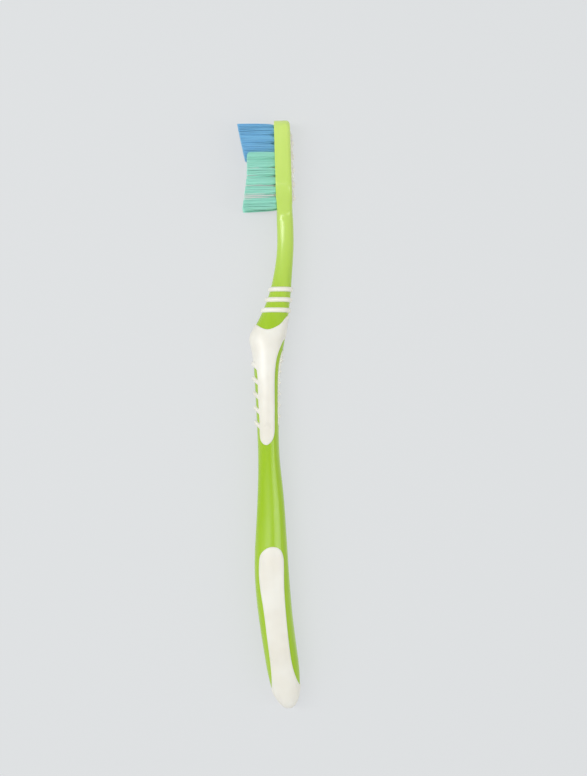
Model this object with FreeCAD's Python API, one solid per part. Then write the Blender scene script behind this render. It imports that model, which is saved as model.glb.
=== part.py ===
"""Manual toothbrush: a hard handle moulded in one piece, soft grips moulded over it, and a field of
bristle tufts, each folded round a small metal anchor in its own hole in the head.

While it is drawn, X = 0 is the face that carries the bristles, at the middle of the head, and the bristles
point to -X. Y runs from the tail end to the head's tip, and Z = 0 is the plane of symmetry. At the end all
pieces move together, so that the brush lies on its side with the floor at Z = 0.
"""
import FreeCAD
import Part
import math
import os

V = FreeCAD.Vector
DOWN_THE_TUFT = V(1, 0, 0)

# Lengths along the brush, from the head's tip to the tail end. The head is as long as its bristle field
# and the bare ends before and behind it.
field_top = 1.6
field_length = 27.2
field_to_neck = 3.9
neck_length = 33.3
rest_length = 10.7
thumb_length = 28.1
waist_length = 32.4
tail_length = 52.8

# Depth from bristle side to back, and width across, of each zone of the handle
neck_depth = 5.4
neck_width = 5.6
rest_depth = 11.3
rest_width = 11.0
thumb_depth = 7.9
thumb_width = 11.5
waist_depth = 7.5
waist_width = 9.0
tail_depth = 11.1
tail_width = 11.5
front_reach = 8.0
section_sides = 20
core_sides = 8
rod_sides = 8
fullness = 2.4
band_length = 7.0

# Head plate
head_width = 12.0
head_thickness = 5.2
head_face_offset = 0.1
head_tip_radius = 4.6
head_side_radius = 38.0
head_flat_length = 5.8
head_shoulder_radius = 13.0
head_end_width = 5.8
head_back_round = 1.3
head_front_bevel = 0.35
head_tilt = 1.75
head_overlap = 0.4
seam_step = 0.1
flare_length = 6.5
flare_depth = 8.6
flare_width = 13.4
neck_root_length = 4.0
neck_root_depth = 4.2
neck_root_width = 4.6

# Soft grips moulded over the handle
skin_proud = 0.25
grip_wall = 0.8
sliver = 0.5
rib_count = 5
rib_pitch = 4.75
rib_thickness = 1.05
rib_first = 11.6
rib_fall = 49.0
rib_run = 3.9
rib_lead = 1.0
rib_proud = 0.8
bump_count = 6
bump_pitch = 3.6
bump_height = 1.4
bump_first = 11.5
bump_proud = 0.6
tail_end_wall = 4.0

# Rings round the neck
ring_count = 3
ring_pitch = 3.36
ring_first = 11.33
ring_height = 1.6
ring_crown = 0.8
ring_proud = 0.7
ring_depth = 0.7

# Soft pad on the back of the head, a little shorter than the bristle field at each end
pad_inset = 1.8
pad_width = 9.4
pad_tip_radius = 2.4
pad_depth = 0.6
pad_proud = 0.2
nub_pitch = 4.4
edge_nub_first = 1.9
edge_nub_radius = 0.75
edge_nub_height = 0.45
edge_nub_margin = 1.0
mid_nub_first = 4.1
mid_nub_radius = 1.15
mid_nub_height = 0.85
mid_nub_margin = 1.7
nub_top_share = 0.6

# Bristle tufts, their holes and anchors
tuft_root_radius = 0.8
tuft_tip_radius = 0.98
tuft_full_length = 13.0
tuft_clearance = 0.025
hole_depth = 3.5
anchor_width = 2.2
anchor_height = 1.5
anchor_thickness = 0.25
anchor_above_floor = 0.35
anchor_turn = 30.0
edge_tuft_reach = 3.9
mid_tuft_reach = 1.25
blue_length = 11.1
blue_trim = 11.7
blue_trim_low = 9.65
field_trim_low = 8.9
field_trim_flat = 9.1
field_flat_length = 5.6
field_trim_high = 10.9

# Each row of a zone: share along it, then front line as a share of front_reach, depth and width as
# shares of the zone's own. The front line is measured from the head's face, and is negative in front of it.
neck_shares = (
    (0.00, 0.069, 1.00, 1.07),
    (0.22, 0.090, 0.99, 0.98),
    (0.50, -0.040, 1.09, 1.11),
    (0.72, -0.260, 1.32, 1.33),
    (0.89, -0.540, 1.62, 1.59),
)
rest_shares = (
    (0.09, -0.834, 0.93, 0.91),
    (0.39, -1.000, 1.00, 0.97),
    (0.78, -0.915, 0.88, 1.02),
)
thumb_shares = (
    (0.12, -0.848, 1.07, 1.00),
    (0.43, -0.785, 0.96, 0.98),
    (0.76, -0.728, 0.90, 0.91),
)
waist_shares = (
    (0.10, -0.682, 0.93, 1.03),
    (0.47, -0.698, 1.11, 1.00),
    (0.83, -0.765, 1.30, 1.08),
)
tail_shares = (
    (0.12, -0.822, 0.99, 0.96),
    (0.41, -0.684, 1.00, 1.00),
    (0.67, -0.425, 0.97, 0.94),
    (0.83, -0.220, 0.89, 0.78),
    (0.925, 0.013, 0.68, 0.58),
    (0.977, 0.255, 0.41, 0.36),
    (1.00, 0.460, 0.14, 0.10),
)

# Outlines of the soft grips seen from the side: share along the grip's length, and share across the
# handle from its front line to its back line
thumb_top_shares = (
    (-0.012, -0.30), (0.00, 0.01), (0.025, 0.21), (0.042, 0.44), (0.025, 0.64), (-0.012, 0.81),
    (-0.075, 0.98), (-0.108, 1.30),
)
thumb_side_shares = (
    (0.092, 1.30), (0.117, 0.99), (0.167, 0.924), (0.275, 0.837), (0.342, 0.827), (0.625, 0.828),
    (0.833, 0.82), (0.925, 0.775), (0.979, 0.61), (0.998, 0.41), (0.979, 0.22), (0.925, 0.135),
    (0.833, 0.142), (0.583, 0.13), (0.375, 0.12), (0.308, 0.015), (0.279, -0.30),
)
strip_shares = (
    (0.150, 1.40), (0.204, 1.01), (0.258, 0.955), (0.392, 0.95), (0.625, 0.955), (0.792, 0.96),
    (0.85, 1.01), (0.90, 1.40),
)
tail_grip_shares = (
    (0.92, -0.60), (0.90, -0.08), (0.851, 0.058), (0.802, 0.11), (0.729, 0.148), (0.533, 0.18),
    (0.429, 0.19), (0.337, 0.176), (0.184, 0.134), (0.104, 0.143), (0.049, 0.185), (0.018, 0.307),
    (0.00, 0.556), (0.015, 0.77), (0.049, 0.854), (0.11, 0.87), (0.214, 0.844), (0.441, 0.818),
    (0.637, 0.796), (0.717, 0.808), (0.778, 0.857), (0.827, 0.935), (0.863, 1.05), (0.88, 1.50),
)

# Tufts: share along the bristle field, and for the edge ones the share of edge_tuft_reach from the middle
edge_blue_shares = ((0.088, 0.76), (0.19, 0.87), (0.29, 0.95))
edge_teal_shares = ((0.38, 0.99), (0.47, 1.00), (0.573, 1.00), (0.676, 0.99), (0.786, 0.94), (0.898, 0.78))
mid_blue_shares = (0.039, 0.139, 0.24, 0.345)
mid_white_shares = (0.432, 0.523, 0.625, 0.73, 0.844)
mid_heel_share = 0.956

# What follows from the sizes above
head_end = neck_length + rest_length + thumb_length + waist_length + tail_length
field_end = head_end + field_to_neck
field_start = field_end + field_length
total_length = field_start + field_top
pad_top = field_start - pad_inset
pad_length = field_length - 2 * pad_inset
grip_length = rest_length + thumb_length
rest_top = head_end - neck_length
thumb_top = rest_top - rest_length
waist_top = thumb_top - thumb_length
tail_top = waist_top - waist_length
zones = (
    (head_end, neck_length, neck_depth, neck_width, neck_shares),
    (rest_top, rest_length, rest_depth, rest_width, rest_shares),
    (thumb_top, thumb_length, thumb_depth, thumb_width, thumb_shares),
    (waist_top, waist_length, waist_depth, waist_width, waist_shares),
    (tail_top, tail_length, tail_depth, tail_width, tail_shares),
)


def handle_rows():
    """Places of the handle's governing sections, from tail to neck: Y, front X, back X, half width."""
    rows = []
    for top, length, depth, width, shares in zones:
        for along, front, deep, wide in shares:
            front_x = front * front_reach
            rows.append((top - along * length, front_x, front_x + deep * depth, wide * width / 2))
    return sorted(rows)


def smooth_rows(rows):
    """Adds sections between the governing ones, no further apart than band_length, on cubic curves whose
    slope at each governing section follows its two neighbours."""
    last = len(rows) - 1
    slopes = []
    for i in range(last + 1):
        before, after = rows[max(i - 1, 0)], rows[min(i + 1, last)]
        run = after[0] - before[0]
        slopes.append([(after[k] - before[k]) / run for k in range(4)])
    finer = []
    for i in range(last):
        low, high = rows[i], rows[i + 1]
        run = high[0] - low[0]
        steps = max(1, math.ceil(run / band_length))
        for j in range(steps):
            t = j / steps
            weights = (2 * t**3 - 3 * t**2 + 1, t**3 - 2 * t**2 + t, 3 * t**2 - 2 * t**3, t**3 - t**2)
            row = [low[0] + t * run]
            for k in (1, 2, 3):
                parts = (low[k], slopes[i][k] * run, high[k], slopes[i + 1][k] * run)
                row.append(sum(w * p for w, p in zip(weights, parts)))
            finer.append(tuple(row))
    return finer + [rows[last]]


handle_sections = smooth_rows(handle_rows())


def profile_at(y):
    """Front X, back X and half width of the handle at one Y, between the two nearest sections."""
    for low, high in zip(handle_sections, handle_sections[1:]):
        if y <= high[0]:
            break
    t = (y - low[0]) / (high[0] - low[0])
    return [low[k] + t * (high[k] - low[k]) for k in (1, 2, 3)]


def touching_ring(y, middle_x, half_depth, half_width, sides=section_sides):
    """Corners of a section across the brush. Its sides are lines in evenly turned directions that touch a
    superellipse, |x|^n + |z|^n = 1 with n = fullness, so that the faces between two sections are flat."""
    power = fullness / (fullness - 1)
    lines = []
    for i in range(sides):
        angle = 2 * math.pi * i / sides
        across, up = math.cos(angle), math.sin(angle)
        reach = (abs(half_depth * across) ** power + abs(half_width * up) ** power) ** (1 / power)
        lines.append((across, up, reach))
    corners = []
    for (a, b, r), (c, d, t) in zip(lines, lines[1:] + lines[:1]):
        turn = a * d - b * c
        corners.append(V(middle_x + (r * d - t * b) / turn, y, (a * t - c * r) / turn))
    return corners


def flat_sided(rings):
    """A closed solid with flat sides between rings of corners, and flat ends."""
    outlines = [rings[0], rings[-1]]
    for near, far in zip(rings, rings[1:]):
        for i in range(len(near)):
            j = (i + 1) % len(near)
            outlines.append([near[i], near[j], far[j], far[i]])
    faces = [Part.Face(Part.makePolygon(points + points[:1])) for points in outlines]
    return Part.makeSolid(Part.makeShell(faces))


def grown(y, grow, sides=section_sides):
    """The handle's section at one Y, with its half sizes larger by grow."""
    front, back, half_width = profile_at(y)
    return touching_ring(y, (front + back) / 2, (back - front) / 2 + grow, half_width + grow, sides)


def handle_between(low, high, grow=0.0, sides=section_sides):
    """The handle from Y = low to Y = high, with every half size larger by grow."""
    between = [row[0] for row in handle_sections if low + seam_step < row[0] < high - seam_step]
    return flat_sided([grown(y, grow, sides) for y in [low] + between + [high]])


def outline_places(top, length, shares):
    """Places seen from the side, given as shares along a grip and across the handle there."""
    points = []
    for along, across in shares:
        y = top - along * length
        front, back = profile_at(min(max(y, 0), head_end))[:2]
        points.append(V(front + across * (back - front), y, -head_width))
    return points


def side_region(*chains):
    """A solid through the whole width, whose side outline is smooth curves joined by straight lines."""
    edges = []
    for i, points in enumerate(chains):
        following = chains[(i + 1) % len(chains)][0]
        if len(points) > 2:
            curve = Part.BSplineCurve()
            curve.interpolate(points)
            edges.append(curve.toShape())
        else:
            edges.append(Part.makeLine(points[0], points[1]))
        edges.append(Part.makeLine(points[-1], following))
    return Part.Face(Part.Wire(edges)).extrude(V(0, 0, 2 * head_width))


def box_between(low, high):
    """A box from its lowest corner to its highest."""
    size = high - low
    return Part.makeBox(size.x, size.y, size.z, low)


def about(centre, start, end):
    """The short arc from start to end about a centre, in the plane X = 0."""
    middle = (start + end) * (1 / 2) - centre
    middle.normalize()
    return Part.Arc(start, centre + middle * (start - centre).Length, end).toShape()


def head_outline():
    """The head's outline seen along X: tip arc, side arcs, flats, shoulders and hollows into the neck."""
    half, end_half = head_width / 2, head_end_width / 2
    tip = total_length
    tip_centre = V(0, tip - head_tip_radius, 0)
    gap = head_side_radius - head_tip_radius
    flat_top = tip_centre.y - math.sqrt(gap**2 - (head_side_radius - half) ** 2)
    flat_low = flat_top - head_flat_length
    end = head_end - head_overlap
    drop = half - end_half
    radii = ((flat_low - end) ** 2 + drop**2) / (2 * drop)
    edges = []
    joints = []
    for side in (1, -1):
        side_centre = V(0, flat_top, side * (half - head_side_radius))
        toward_tip = tip_centre - side_centre
        toward_tip.normalize()
        joint = side_centre + toward_tip * head_side_radius
        shoulder_centre = V(0, flat_low, side * (half - head_shoulder_radius))
        hollow_centre = V(0, end, side * (end_half + radii - head_shoulder_radius))
        toward_hollow = hollow_centre - shoulder_centre
        toward_hollow.normalize()
        turn = shoulder_centre + toward_hollow * head_shoulder_radius
        flat_start, flat_end = V(0, flat_top, side * half), V(0, flat_low, side * half)
        edges.append(about(side_centre, joint, flat_start))
        edges.append(Part.makeLine(flat_start, flat_end))
        edges.append(about(shoulder_centre, flat_end, turn))
        edges.append(about(hollow_centre, turn, V(0, end, side * end_half)))
        joints.append(joint)
    edges.append(Part.Arc(joints[0], V(0, tip, 0), joints[1]).toShape())
    edges.append(Part.makeLine(V(0, end, end_half), V(0, end, -end_half)))
    return Part.Wire(Part.__sortEdges__(edges))


def head_plate():
    """The head before its holes: the outline drawn through, its front edge bevelled, its back edge rounded, and
    its lower corners turned down to the round neck by a flare."""
    plate = Part.Face(head_outline()).extrude(V(head_thickness, 0, 0))
    end = head_end - head_overlap
    rims = []
    for place in (0, head_thickness):
        rims.append([
            edge for edge in plate.Edges
            if edge.BoundBox.XMin > place - sliver and edge.BoundBox.XMax < place + sliver
            and edge.BoundBox.YMax > end + sliver
        ])
    plate = plate.makeChamfer(head_front_bevel, rims[0])
    plate = plate.makeFillet(head_back_round, [edge for edge in plate.Edges if any(edge.isSame(e) for e in rims[1])])
    middle = head_thickness / 2
    flare = flat_sided([
        touching_ring(end, middle, neck_depth / 2 - seam_step, neck_width / 2),
        touching_ring(end + flare_length, middle, flare_depth / 2, flare_width / 2),
    ])
    corners = box_between(
        V(-head_thickness, end - head_overlap, -head_width),
        V(2 * head_thickness, end + flare_length, head_width),
    ).cut(flare)
    return plate.cut(corners)


def on_head(shape):
    """Turns a shape drawn on the upright head to the head's slight lean."""
    shape = shape.copy()
    shape.rotate(V(0, (field_start + field_end) / 2, 0), V(0, 0, 1), head_tilt)
    shape.translate(V(head_face_offset, 0, 0))
    return shape


def eight_sided_rod(y, z, stations):
    """An eight-sided rod along X at (y, z), through stations of X and its radius there."""
    rings = []
    for x, radius in stations:
        corner = radius / math.cos(math.pi / rod_sides)
        angles = [(2 * i + 1) * math.pi / rod_sides for i in range(rod_sides)]
        rings.append([V(x, y + corner * math.cos(a), z + corner * math.sin(a)) for a in angles])
    return flat_sided(rings)


def tuft_places():
    """Name, kind, Y and Z of every tuft."""
    places = []
    edge = [(share, reach, "blue") for share, reach in edge_blue_shares]
    edge += [(share, reach, "teal") for share, reach in edge_teal_shares]
    middle = [(share, "blue") for share in mid_blue_shares] + [(share, "white") for share in mid_white_shares]
    middle.append((mid_heel_share, "teal"))
    for side_name, side in (("left", 1), ("right", -1)):
        for i, (share, reach, kind) in enumerate(edge, start=1):
            y = field_start - share * field_length
            places.append((f"tuft_edge_{side_name}_{i:02d}_{kind}", kind, y, side * reach * edge_tuft_reach))
        for i, (share, kind) in enumerate(middle, start=1):
            y = field_start - share * field_length
            places.append((f"tuft_middle_{side_name}_{i:02d}_{kind}", kind, y, side * mid_tuft_reach))
    return places


def trimmed(top, height_top, *rest):
    """The room under the trimming blades, from the hole floors out, through the head's whole width."""
    points = [V(hole_depth, top, 0), V(-height_top, top, 0)]
    points += [V(-height, y, 0) for y, height in rest]
    points.append(V(hole_depth, points[-1].y, 0))
    face = Part.Face(Part.makePolygon(points + points[:1]))
    face.translate(V(0, 0, -head_width))
    return face.extrude(V(0, 0, 2 * head_width))


def anchor(y, z):
    """One anchor plate, standing in the fold of its tuft."""
    top = hole_depth - anchor_above_floor - anchor_height
    plate = Part.makeBox(
        anchor_height, anchor_width, anchor_thickness,
        V(top, y - anchor_width / 2, z - anchor_thickness / 2),
    )
    plate.rotate(V(0, y, z), DOWN_THE_TUFT, anchor_turn)
    return plate


def bristle_field():
    """The tufts by name, the anchors, and what has to be taken out of the head for them."""
    blue_end = field_start - blue_length
    low_end = blue_end - field_flat_length
    blue_room = trimmed(total_length, blue_trim, (field_start, blue_trim), (blue_end, blue_trim_low),
                        (field_end, blue_trim_low))
    pale_room = trimmed(total_length, field_trim_low, (blue_end, field_trim_low), (low_end, field_trim_flat),
                        (field_end, field_trim_high), (head_end, field_trim_high))
    draft = (tuft_tip_radius - tuft_root_radius) / (tuft_full_length + hole_depth)
    floor_radius = tuft_root_radius + tuft_clearance
    mouth_radius = floor_radius + draft * hole_depth
    tufts, anchors, holes = {}, [], []
    for name, kind, y, z in tuft_places():
        plate = anchor(y, z)
        rod = eight_sided_rod(y, z, ((hole_depth, tuft_root_radius), (-tuft_full_length, tuft_tip_radius)))
        room = blue_room if kind == "blue" else pale_room
        tufts[name] = on_head(rod.common(room).cut(plate))
        anchors.append(on_head(plate))
        holes.append(on_head(eight_sided_rod(y, z, ((hole_depth, floor_radius), (0, mouth_radius), (-sliver, mouth_radius)))))
    return tufts, anchors, holes


def pad_half_width(y):
    """Half width of the back pad at one Y, on its long side arcs."""
    centre = pad_top - pad_length / 2
    radius = pad_side_radius()
    return pad_width / 2 - radius + math.sqrt(radius**2 - (y - centre) ** 2)


def pad_side_radius():
    """Radius of the pad's side arcs, tangent to the circles at its two ends."""
    reach, half = pad_length / 2 - pad_tip_radius, pad_width / 2
    return (reach**2 + half**2 - pad_tip_radius**2) / (2 * (half - pad_tip_radius))


def back_pad():
    """The soft pad in the back of the head with its nubs, and the recess that it fills."""
    low = pad_top - pad_length
    middle_y = (pad_top + low) / 2
    radius = pad_side_radius()
    edges, joints = [], []
    for side in (1, -1):
        side_centre = V(0, middle_y, side * (pad_width / 2 - radius))
        pair = []
        for tip_y in (pad_top - pad_tip_radius, low + pad_tip_radius):
            outward = V(0, tip_y, 0) - side_centre
            outward.normalize()
            pair.append(side_centre + outward * radius)
        edges.append(Part.Arc(pair[0], V(0, middle_y, side * pad_width / 2), pair[1]).toShape())
        joints.append(pair)
    edges.append(Part.Arc(joints[0][0], V(0, pad_top, 0), joints[1][0]).toShape())
    edges.append(Part.Arc(joints[0][1], V(0, low, 0), joints[1][1]).toShape())
    face = Part.Face(Part.Wire(Part.__sortEdges__(edges)))
    face.translate(V(head_thickness - pad_depth, 0, 0))
    pad = face.extrude(V(pad_depth + pad_proud, 0, 0))
    surface = head_thickness + pad_proud
    room = pad_length - mid_nub_first - mid_nub_margin
    for i in range(1 + int(room / nub_pitch)):
        mid_y = pad_top - mid_nub_first - i * nub_pitch
        edge_y = pad_top - edge_nub_first - i * nub_pitch
        edge_z = pad_half_width(edge_y) - edge_nub_margin
        for y, z, nub_radius, height in (
            (mid_y, 0, mid_nub_radius, mid_nub_height),
            (edge_y, edge_z, edge_nub_radius, edge_nub_height),
            (edge_y, -edge_z, edge_nub_radius, edge_nub_height),
        ):
            nub = eight_sided_rod(y, z, ((head_thickness, nub_radius), (surface + height, nub_top_share * nub_radius)))
            pad = pad.fuse(nub)
    recess = face.extrude(V(pad_depth + head_thickness, 0, 0))
    return on_head(pad), on_head(recess)


def neck_ring(index):
    """One ring round the neck, and the groove that it fills."""
    middle = rest_top + ring_first - index * ring_pitch
    low, high = middle - ring_height / 2, middle + ring_height / 2
    crown = ring_crown / 2
    steps = ((low, 0), (middle - crown, ring_proud), (middle + crown, ring_proud), (high, 0))
    outside = flat_sided([grown(y, grow) for y, grow in steps])
    inside = handle_between(low, high, -ring_depth)
    return outside.cut(inside), handle_between(low, high, ring_depth).cut(inside)


def across_slab(y, height):
    """A flat slab across the handle."""
    return box_between(
        V(-tail_depth * 2, y - height / 2, -head_width), V(tail_depth * 2, y + height / 2, head_width))


def rib_slab(index):
    """The slanting slab that one rib of the thumb grip lies in, from before its tip into the side panel."""
    y = rest_top - rib_first - index * rib_pitch
    slab = box_between(
        V(-rib_lead, -rib_thickness / 2, -head_width), V(rib_run, rib_thickness / 2, head_width))
    slab.rotate(V(0, 0, 0), V(0, 0, 1), -rib_fall)
    slab.translate(V(profile_at(y)[0] - rib_proud, y, 0))
    return slab


def moved_along_x(shape, distance):
    """A copy of a shape, moved along X."""
    shape = shape.copy()
    shape.translate(V(distance, 0, 0))
    return shape


def grips(skin, core):
    """The three grips moulded over the handle, with the room that each takes out of it."""
    thumb_room = side_region(
        outline_places(rest_top, grip_length, thumb_top_shares),
        outline_places(rest_top, grip_length, thumb_side_shares),
    )
    slabs = [rib_slab(i) for i in range(rib_count)]
    rib_skin = moved_along_x(skin, skin_proud - rib_proud)
    thumb = skin.common(thumb_room)
    for slab in slabs:
        thumb = thumb.fuse(rib_skin.common(slab))
        thumb_room = thumb_room.fuse(slab)

    strip_room = side_region(outline_places(rest_top, grip_length, strip_shares))
    strip = skin.common(strip_room)
    bump_skin = moved_along_x(skin, bump_proud - skin_proud)
    for i in range(bump_count):
        slab = across_slab(rest_top - bump_first - i * bump_pitch, bump_height)
        strip = strip.fuse(bump_skin.common(slab).common(strip_room))

    tail_outline = outline_places(tail_top, tail_length, tail_grip_shares)
    below = [V(point.x, -tail_end_wall, -head_width) for point in (tail_outline[-1], tail_outline[0])]
    tail_room = side_region(tail_outline, below)
    rooms = [room.cut(core) for room in (thumb_room, strip_room, tail_room)]
    return (thumb.cut(core), strip.cut(core), skin.common(tail_room).cut(core)), rooms


def build():
    """All pieces by node name."""
    front, back = profile_at(head_end)[:2]
    neck_root = flat_sided([
        grown(head_end, 0),
        touching_ring(head_end + neck_root_length, (front + back) / 2, neck_root_depth / 2, neck_root_width / 2),
    ])
    handle = handle_between(0, head_end).fuse([neck_root, on_head(head_plate())])
    skin = handle_between(0, head_end, skin_proud)
    core = handle_between(tail_end_wall, head_end, -grip_wall, core_sides)
    (thumb, strip, tail), rooms = grips(skin, core)
    pad, recess = back_pad()
    tufts, anchors, holes = bristle_field()
    rings = [neck_ring(i) for i in range(ring_count)]
    cutters = rooms + [recess] + holes + [groove for _, groove in rings]
    handle = handle.cut(cutters)
    nodes = {
        "handle_body": handle,
        "thumb_grip": thumb,
        "back_grip_strip": strip,
        "tail_grip": tail,
        "head_back_pad": pad,
        "tuft_anchors": Part.makeCompound(anchors),
    }
    for name, (ring, _) in zip(("neck_ring_upper", "neck_ring_middle", "neck_ring_lower"), rings):
        nodes[name] = ring
    nodes.update(tufts)
    return nodes


def main():
    """Builds the pieces, lays the brush on its side with its lowest point on the floor, and writes them."""
    nodes = build()
    room = Part.makeCompound(list(nodes.values())).optimalBoundingBox(False, False)
    shift = V(-(room.XMin + room.XMax) / 2, -(room.YMin + room.YMax) / 2, -room.ZMin)
    os.makedirs("parts", exist_ok=True)
    for name, shape in nodes.items():
        shape.translate(shift)
        shape.exportStep(f"parts/{name}.step")
        print(name, shape.isValid(), len(shape.Solids), round(shape.Volume, 2))
    print("shift", shift, "size", room.XLength, room.YLength, room.ZLength)


main()
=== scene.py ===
"""Manual toothbrush, dressed round its solid model: a smooth moulded handle with soft grips over it,
and a field of tufts made of single filaments.

Shapes are worked out in millimetres in brush coordinates, as the solids are. X = 0 is the face that
carries the bristles, at the middle of the head, and the bristles point to -X. Y runs from the tail end
to the head's tip, and Z = 0 is the plane of symmetry. In the frame the brush lies on its side.
"""
import math

import bmesh
import bpy
import numpy as np
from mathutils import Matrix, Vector


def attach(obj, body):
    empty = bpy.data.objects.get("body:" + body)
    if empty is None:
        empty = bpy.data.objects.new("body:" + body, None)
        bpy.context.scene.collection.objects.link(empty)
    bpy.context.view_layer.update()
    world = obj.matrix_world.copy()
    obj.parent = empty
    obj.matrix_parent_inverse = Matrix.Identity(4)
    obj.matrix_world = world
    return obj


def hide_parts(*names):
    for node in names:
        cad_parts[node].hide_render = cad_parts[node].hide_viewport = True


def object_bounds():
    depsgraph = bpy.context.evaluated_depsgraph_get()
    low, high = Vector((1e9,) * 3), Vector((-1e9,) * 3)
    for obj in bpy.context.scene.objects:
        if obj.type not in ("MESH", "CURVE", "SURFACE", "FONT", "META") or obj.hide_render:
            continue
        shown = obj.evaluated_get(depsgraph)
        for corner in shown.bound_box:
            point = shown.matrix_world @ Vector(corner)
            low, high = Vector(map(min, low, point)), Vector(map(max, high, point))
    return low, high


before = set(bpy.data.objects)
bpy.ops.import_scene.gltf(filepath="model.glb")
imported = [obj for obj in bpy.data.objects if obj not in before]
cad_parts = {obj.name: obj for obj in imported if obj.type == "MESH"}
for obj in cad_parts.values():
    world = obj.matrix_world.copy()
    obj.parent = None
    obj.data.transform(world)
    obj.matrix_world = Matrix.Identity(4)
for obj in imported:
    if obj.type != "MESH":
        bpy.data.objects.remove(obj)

bl_info = {
    "name": "Manual Toothbrush",
    "version": (1, 0, 0),
    "blender": (4, 5, 0),
    "location": "View3D > Sidebar > Toothbrush",
    "description": "Builds a manual toothbrush with soft grips and single filaments",
    "category": "Add Mesh",
}

CAD_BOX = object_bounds()
MM = 0.001
# The distance in metres under which points are merged, and a number that counts as nothing
WELD = 1e-6
TINY = 1e-6

# Lengths along the brush, from the head's tip to the tail end
FIELD_TOP = 1.6
FIELD_LENGTH = 27.2
FIELD_TO_NECK = 3.9
NECK_LENGTH = 33.3
REST_LENGTH = 10.7
THUMB_LENGTH = 28.1
WAIST_LENGTH = 32.4
TAIL_LENGTH = 52.8

# Depth from the bristle side to the back, and width across, of each zone of the handle
NECK_SIZE = (5.4, 5.6)
REST_SIZE = (11.3, 11.0)
THUMB_SIZE = (7.9, 11.5)
WAIST_SIZE = (7.5, 9.0)
TAIL_SIZE = (11.1, 11.5)
# The front line's furthest reach from X = 0, and the power of the sections' superellipse
FRONT_REACH = 8.0
FULLNESS = 2.4

# The handle's round tail end: how far it crowns past its last row, and how far the rows near the end
# are drawn in, and up to where, so that the grip over them ends where the solid does
TAIL_CROWN = 0.12
TAIL_DRAW = 0.3
TAIL_DRAW_REACH = 4.0

# Head plate
HEAD_WIDTH = 12.0
HEAD_THICKNESS = 5.2
HEAD_FACE_OFFSET = 0.1
HEAD_TIP_RADIUS = 4.6
HEAD_SIDE_RADIUS = 38.0
HEAD_FLAT_LENGTH = 5.8
HEAD_SHOULDER_RADIUS = 13.0
HEAD_END_WIDTH = 5.8
HEAD_END_OVERLAP = 0.4
HEAD_FRONT_ROUND = 0.35
HEAD_BACK_ROUND = 1.4
HEAD_TILT = math.radians(1.75)
# From where to where past the neck's end the profile, and then the section, turn into the head's
PROFILE_BLEND = (0.0, 3.6)
SECTION_BLEND = (-2.0, 8.5)

# Soft grips: the rows' spacing, how far a skin sinks into the handle outside its edge, how wide the
# edge rolls over, and its wall
SKIN_STEP = 0.14
SKIN_SINK = 0.3
EDGE_ROLL = 0.28
SKIN_WALL = 0.5
# The least that a direction seen from the side is taken to keep of its length on the surface, squared
SLANT_LIMIT = 0.03
# The thumb grip's ribs: the first one's distance below the rest's top, the angle that they fall by, how
# far they run, and the share of that run where they begin to sink
RIB_COUNT = 5
RIB_PITCH = 4.75
RIB_RADIUS = 0.6
RIB_FIRST = 11.6
RIB_FALL = math.radians(49.0)
RIB_RUN = 3.9
RIB_FADE_SHARE = 0.25
# The back strip's bumps, with the first also measured from the rest's top
BUMP_COUNT = 6
BUMP_PITCH = 3.6
BUMP_LENGTH = 1.9
BUMP_FIRST = 11.5

# Rings round the neck: the first one's distance above the rest's top, and how far their middle is sunk
RING_PITCH = 3.36
RING_FIRST = 11.33
RING_SINK = 0.1

# Soft pad on the back of the head
PAD_INSET = 1.8
PAD_WIDTH = 9.4
PAD_TIP_RADIUS = 2.4
PAD_ROOT = 0.6
PAD_PROUD = 0.2
PAD_ROUND = 0.35
NUB_PITCH = 4.4
NUBS_IN_A_ROW = 5
EDGE_NUB = {"first": 1.9, "radius": 0.75, "height": 0.5, "margin": 1.0}
MIDDLE_NUB = {"first": 4.1, "radius": 1.15, "height": 0.9}

# Bristle tufts: the hole's radius, and how deep in it the filaments begin
HOLE_RADIUS = 0.8
TUFT_DEPTH = 1.2
# The tips of an edge tuft and of a middle one: half the width that they spread to along and across the
# brush, how far they drift outwards, and how square their outline is
EDGE_TIP = {"along": 1.42, "aside": 1.15, "drift": 0.0, "square_share": 0.35}
MIDDLE_TIP = {"along": 1.28, "aside": 2.3, "drift": 0.95, "square_share": 0.85}
# The power of its height by which a filament spreads, the share of it that stays straight in the
# hole, and how far the tips stray from their places and from the trim
SPREAD_POWER = 0.2
STRAIGHT_SHARE = 0.1
STRAY = 0.13
TRIM_SCATTER = 0.05
# How far from the middle of the head the edge tufts stand at the most, and the middle ones
EDGE_REACH = 3.9
MIDDLE_REACH = 1.25
# The trim: the blue block's length, and its height at the tip and at its end. The pale block's height
# where it begins, where its flat part ends and at the heel, that part's length, and the corner's radius
BLUE_LENGTH = 11.1
BLUE_TRIM = (11.7, 9.65)
PALE_TRIM = (8.9, 9.1, 10.9)
PALE_FLAT_LENGTH = 5.6
PALE_CORNER_RADIUS = 1.3
# Each filament's rings: share along it, and share of its radius
FILAMENT_SHARES = (
    (0.0, 1.0), (0.12, 1.0), (0.2, 1.0), (0.32, 1.0), (0.5, 1.0), (0.75, 1.0), (0.985, 0.8), (1.0, 0.3),
)

# Tone of the filaments from 0 to 1: the middle, how much they differ, and how much paler a tip is
# painted than its root, as painted light on the tips and painted shade at the roots. The darkest tone
# of a colour is this share of its tint.
TONE_MIDDLE = 0.6
TONE_SCATTER = 0.16
TIP_PAINTED_LIGHT_RISE = 0.25
DARKEST_SHARES = {"blue": 0.88, "teal": 0.92, "white": 0.97}
SEED = 7

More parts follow.
